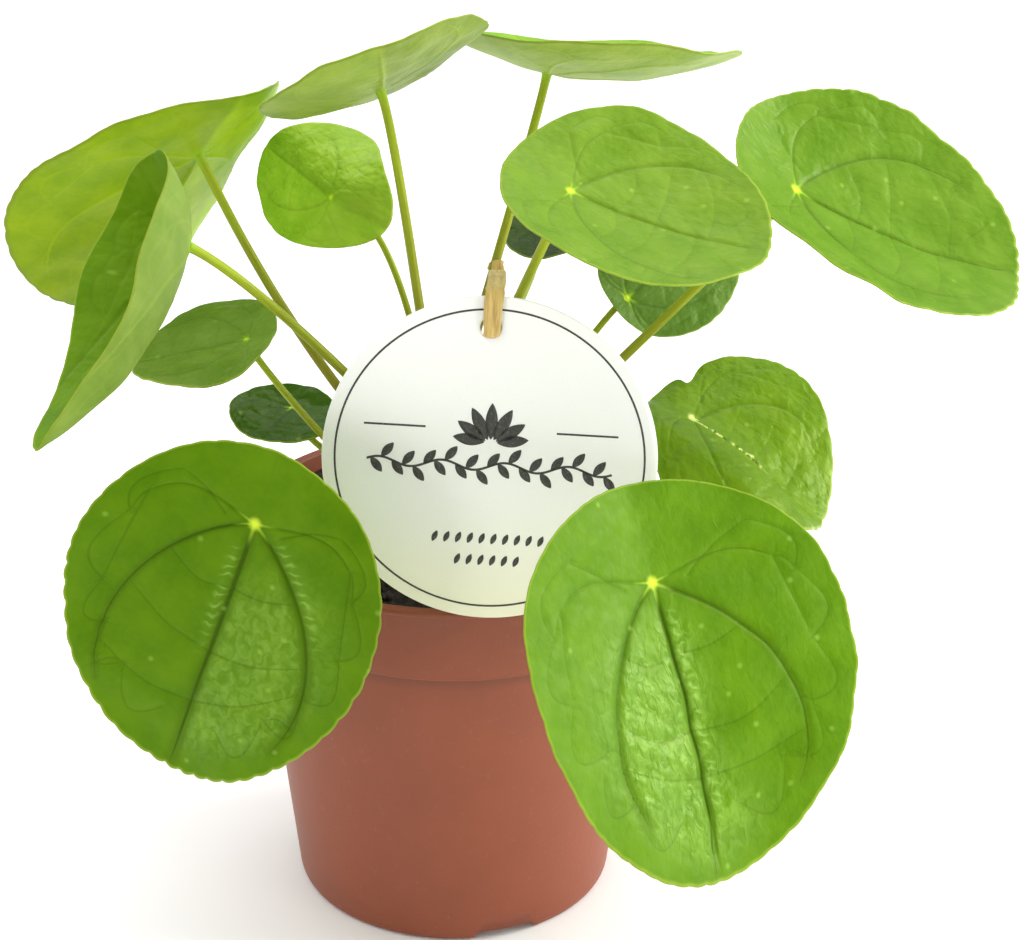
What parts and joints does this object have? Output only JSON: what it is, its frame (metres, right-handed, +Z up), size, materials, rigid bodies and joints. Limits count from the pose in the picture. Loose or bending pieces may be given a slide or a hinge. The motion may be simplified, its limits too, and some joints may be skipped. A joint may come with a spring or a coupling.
{
  "type": "potted chinese money plant",
  "caption": "Potted plant: round flat leaves on long stalks spread from a short stem in soil, in a tapered plastic nursery pot, with a blank round card tag tied to a stalk.",
  "frame": {"origin": "middle of the underside of the pot, on the surface that it stands on", "axes": "+Z up along the pot; -Y towards the front, where the tag and the two largest leaves face; +X to the right seen from the front"},
  "size_m": [0.2715, 0.2204, 0.2561],
  "materials": {
    "pot_plastic": "satin moulded terracotta-coloured polypropylene",
    "soil": "dark moist crumbly potting soil",
    "stem_bark": "olive-brown scarred bark",
    "leaf_green": "smooth waxy leaf, mid green above, paler below",
    "leaf_shade": "smooth waxy leaf, deep green",
    "leaf_young": "smooth young leaf, yellow-green",
    "tag_card": "smooth off-white card with one thin dark ring",
    "tie_raffia": "flat tan raffia"
  },
  "bodies": {
    "root": {"pot": "pot_plastic", "soil": "soil", "stem": "stem_bark", "leaf_front_left": "leaf_green", "leaf_front_right": "leaf_green", "leaf_right_folded": "leaf_green", "leaf_far_right": "leaf_green", "leaf_upper_right": "leaf_green", "leaf_top_right": "leaf_green", "leaf_top_left": "leaf_green", "leaf_small_upper_left": "leaf_green", "leaf_far_left": "leaf_green", "leaf_left_folded": "leaf_green", "leaf_small_left": "leaf_shade", "leaf_low_left": "leaf_shade", "leaf_small_back": "leaf_shade", "leaf_under_right": "leaf_shade", "leaf_young_left": "leaf_young", "leaf_young_right": "leaf_young", "leaf_young_back": "leaf_young", "tag": "tag_card", "tie": "tie_raffia"}
  },
  "joints": []
}
